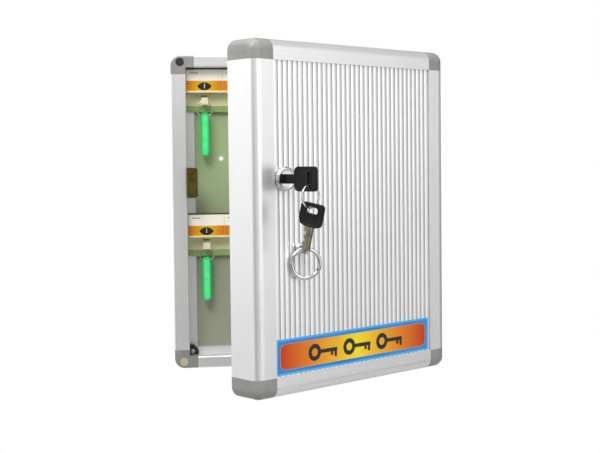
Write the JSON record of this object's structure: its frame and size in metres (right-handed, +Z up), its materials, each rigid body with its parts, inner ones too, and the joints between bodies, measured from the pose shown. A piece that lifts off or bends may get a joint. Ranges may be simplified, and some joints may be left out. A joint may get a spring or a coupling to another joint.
{
  "type": "wall key box",
  "caption": "Shallow wall cabinet for keys: framed body with hook rails and name cards, ribbed hinged door with a cam lock, keys on a split ring and a pull ring.",
  "frame": {"origin": "on the wall plane, midway between the two wall holes", "axes": "+X along the width towards the hinges, +Y into the wall, +Z up; the box stands on the -Y side"},
  "size_m": [0.2686, 0.2207, 0.315],
  "materials": {
    "frame_aluminium": "satin anodised, drawn along its length",
    "corner_plastic": "fine grained grey moulding",
    "back_white": "smooth off-white paint",
    "ribbed_aluminium": "satin anodised ribs",
    "label_print": "printed film, blue border and an orange and yellow field",
    "hinge_steel": "zinc plated, satin",
    "screw_steel": "zinc plated",
    "zinc_steel": "zinc plated",
    "black_rubber": "matte",
    "pale_rubber": "matte",
    "gusset_black": "matte",
    "strike_bronze": "bronzed, satin",
    "rail_cream": "smooth moulding",
    "card_paper": "printed card",
    "tag_green": "translucent moulding",
    "ring_wire": "bright wire",
    "lock_chrome": "polished",
    "bow_black": "fine grained moulding",
    "key_steel": "nickel plated",
    "key_brass": "worn nickel over brass"
  },
  "bodies": {
    "root": {"back_panel": "back_white", "body_bottom_left_corner": "corner_plastic", "body_bottom_right_corner": "corner_plastic", "body_bottom_rail": "frame_aluminium", "body_top_left_corner": "corner_plastic", "body_top_right_corner": "corner_plastic", "body_top_rail": "frame_aluminium", "body_left_rail": "frame_aluminium", "body_right_rail": "frame_aluminium", "corner_gussets": "gusset_black", "gusset_screws": "screw_steel", "lower_buffer": "pale_rubber", "upper_buffer": "black_rubber", "strike_plate": "strike_bronze", "strike_screws": "screw_steel", "rail_screws": "screw_steel", "body_hinge_screws": "screw_steel", "lower_hook_rail": "rail_cream", "lower_name_cards": "card_paper", "lower_key_hooks": "rail_cream", "lower_hinge_body_leaf": "hinge_steel", "lower_hinge_pin": "hinge_steel", "upper_hook_rail": "rail_cream", "upper_name_cards": "card_paper", "upper_key_hooks": "rail_cream", "upper_hinge_body_leaf": "hinge_steel", "upper_hinge_pin": "hinge_steel"},
    "door": {"door_bottom_free_corner": "corner_plastic", "door_bottom_hinge_corner": "corner_plastic", "door_bottom_rail": "frame_aluminium", "door_top_free_corner": "corner_plastic", "door_top_hinge_corner": "corner_plastic", "door_top_rail": "frame_aluminium", "door_free_rail": "frame_aluminium", "door_hinge_rail": "frame_aluminium", "ribbed_panel": "ribbed_aluminium", "label_plate": "label_print", "lock_housing": "lock_chrome", "lock_nut": "zinc_steel", "pull_eye": "lock_chrome", "pull_eye_nut": "zinc_steel", "lower_hinge_door_leaf": "hinge_steel", "upper_hinge_door_leaf": "hinge_steel", "door_hinge_screws": "screw_steel"},
    "lock_core": {"lock_plug": "lock_chrome", "lock_cam": "zinc_steel", "cam_screw": "screw_steel"},
    "key": {"key_blade": "key_steel", "key_bow": "bow_black"},
    "key_ring": {"split_ring": "lock_chrome"},
    "spare_key": {"spare_key_blade": "key_brass", "spare_key_bow": "bow_black"},
    "pull": {"pull_ring": "lock_chrome"},
    "upper_ring": {"upper_tag_ring": "ring_wire"},
    "lower_ring": {"lower_tag_ring": "ring_wire"},
    "upper_tag": {"upper_key_tag": "tag_green"},
    "lower_tag": {"lower_key_tag": "tag_green"}
  },
  "joints": [
    {"name": "door_swing", "type": "hinge", "parent": "root", "child": "door", "pos_m": [0.1286, -0.0275, -0.0545], "axis": [0, 0, 1], "range_deg": [-35.9, 84.1]},
    {"name": "lock_turn", "type": "hinge", "parent": "door", "child": "lock_core", "pos_m": [-0.02907, -0.18385, -0.0191], "axis": [-0.5864, 0.81, 0], "range_deg": [0, 90]},
    {"name": "key_slide", "type": "slide", "parent": "lock_core", "child": "key", "axis": [0.5864, -0.81, 0], "range_m": [0, 0.03]},
    {"name": "key_ring_swing", "type": "hinge", "parent": "key", "child": "key_ring", "pos_m": [-0.0086, -0.21212, -0.02405], "axis": [-0.81, -0.5864, 0], "range_deg": [-10, 45]},
    {"name": "spare_key_swing", "type": "hinge", "parent": "key_ring", "child": "spare_key", "pos_m": [-0.0086, -0.21212, -0.04395], "axis": [0.81, 0.5864, 0], "range_deg": [-12, 12]},
    {"name": "pull_ring_swing", "type": "hinge", "parent": "door", "child": "pull", "pos_m": [-0.00972, -0.17972, -0.0814], "axis": [-0.9851, -0.1719, 0], "range_deg": [0, 60]},
    {"name": "upper_ring_swing", "type": "hinge", "parent": "root", "child": "upper_ring", "pos_m": [-0.0915, -0.013, 0.05822], "axis": [-1, 0, 0], "range_deg": [0, 25]},
    {"name": "upper_tag_swing", "type": "hinge", "parent": "upper_ring", "child": "upper_tag", "pos_m": [-0.0915, -0.013, 0.04222], "axis": [-1, 0, 0], "range_deg": [-5, 10]},
    {"name": "lower_ring_swing", "type": "hinge", "parent": "root", "child": "lower_ring", "pos_m": [-0.0915, -0.013, -0.08888], "axis": [-0.9511, 0.309, 0], "range_deg": [0, 25]},
    {"name": "lower_tag_swing", "type": "hinge", "parent": "lower_ring", "child": "lower_tag", "pos_m": [-0.0915, -0.013, -0.10488], "axis": [-0.9511, 0.309, 0], "range_deg": [-5, 10]}
  ]
}
